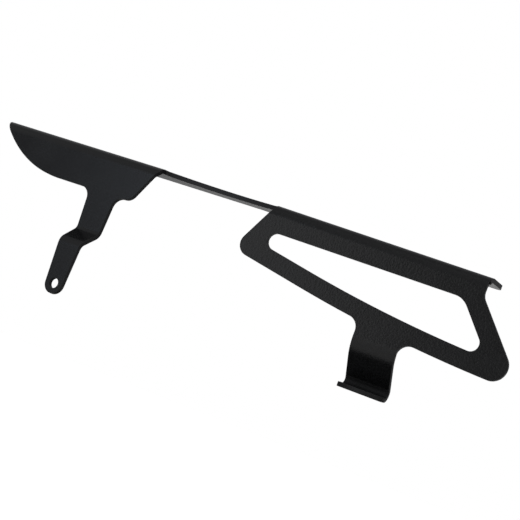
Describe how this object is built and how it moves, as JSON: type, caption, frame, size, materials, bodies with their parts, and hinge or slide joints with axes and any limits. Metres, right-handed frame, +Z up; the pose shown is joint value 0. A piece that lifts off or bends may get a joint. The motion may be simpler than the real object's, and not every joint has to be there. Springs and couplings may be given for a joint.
{
  "type": "motorcycle chain guard",
  "caption": "Folded sheet chain guard for a motorcycle: dog-legged top flange, front fin with a joggled bolt arm, and a windowed rear plate with a hooked tab.",
  "frame": {"origin": "centre of the bolt hole, on the face of the foot that seats on the swingarm", "axes": "+X along the front fold to the rear of the motorcycle, +Y inboard along the bolt, +Z up"},
  "size_m": [0.4186, 0.0746, 0.1062],
  "materials": {
    "powder_coat": "satin black powder coat"
  },
  "bodies": {
    "root": {"chain_guard": "powder_coat"}
  },
  "joints": []
}
